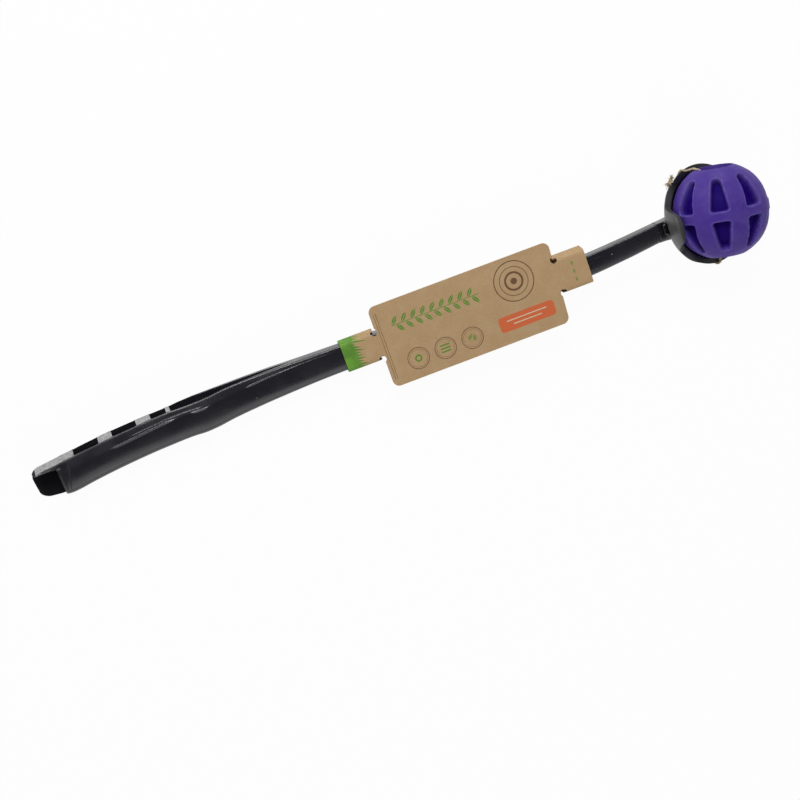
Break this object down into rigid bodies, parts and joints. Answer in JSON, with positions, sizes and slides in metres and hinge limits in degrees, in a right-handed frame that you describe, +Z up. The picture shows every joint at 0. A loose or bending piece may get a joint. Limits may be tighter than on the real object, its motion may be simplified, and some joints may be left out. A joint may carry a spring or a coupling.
{
  "type": "ball launcher",
  "caption": "Hand-held dog-ball launcher: a hollow-gripped arm, a cup head with a grooved rubber ball tied in by twine, and a card sleeve on the shaft.",
  "frame": {"origin": "under the middle of the launcher's box, on the surface that it lies on", "axes": "+X along the arm from the grip to the cup, +Z up from the surface, +Y towards the side that shows the grip's open pockets"},
  "size_m": [0.5152, 0.071, 0.0691],
  "materials": {
    "black_plastic": "moulded black plastic, satin to gloss",
    "ball_rubber": "matt purple rubber with a light bloom",
    "kraft_card": null,
    "twine": "natural two-ply twine"
  },
  "bodies": {
    "launcher": {"arm": "black_plastic", "cup_head": "black_plastic", "twine_tie": "twine"},
    "ball": {"ball": "ball_rubber"},
    "sleeve": {"card_sleeve": "kraft_card"}
  },
  "joints": [
    {"name": "ball_release", "type": "slide", "parent": "launcher", "child": "ball", "axis": [0.3575, 0.0698, 0.9313], "range_m": [0, 0.08], "deforming": ["twine_tie"]},
    {"name": "sleeve_slide", "type": "slide", "parent": "launcher", "child": "sleeve", "axis": [0.9976, 0.0134, 0.0684], "range_m": [0, 0.04]}
  ]
}
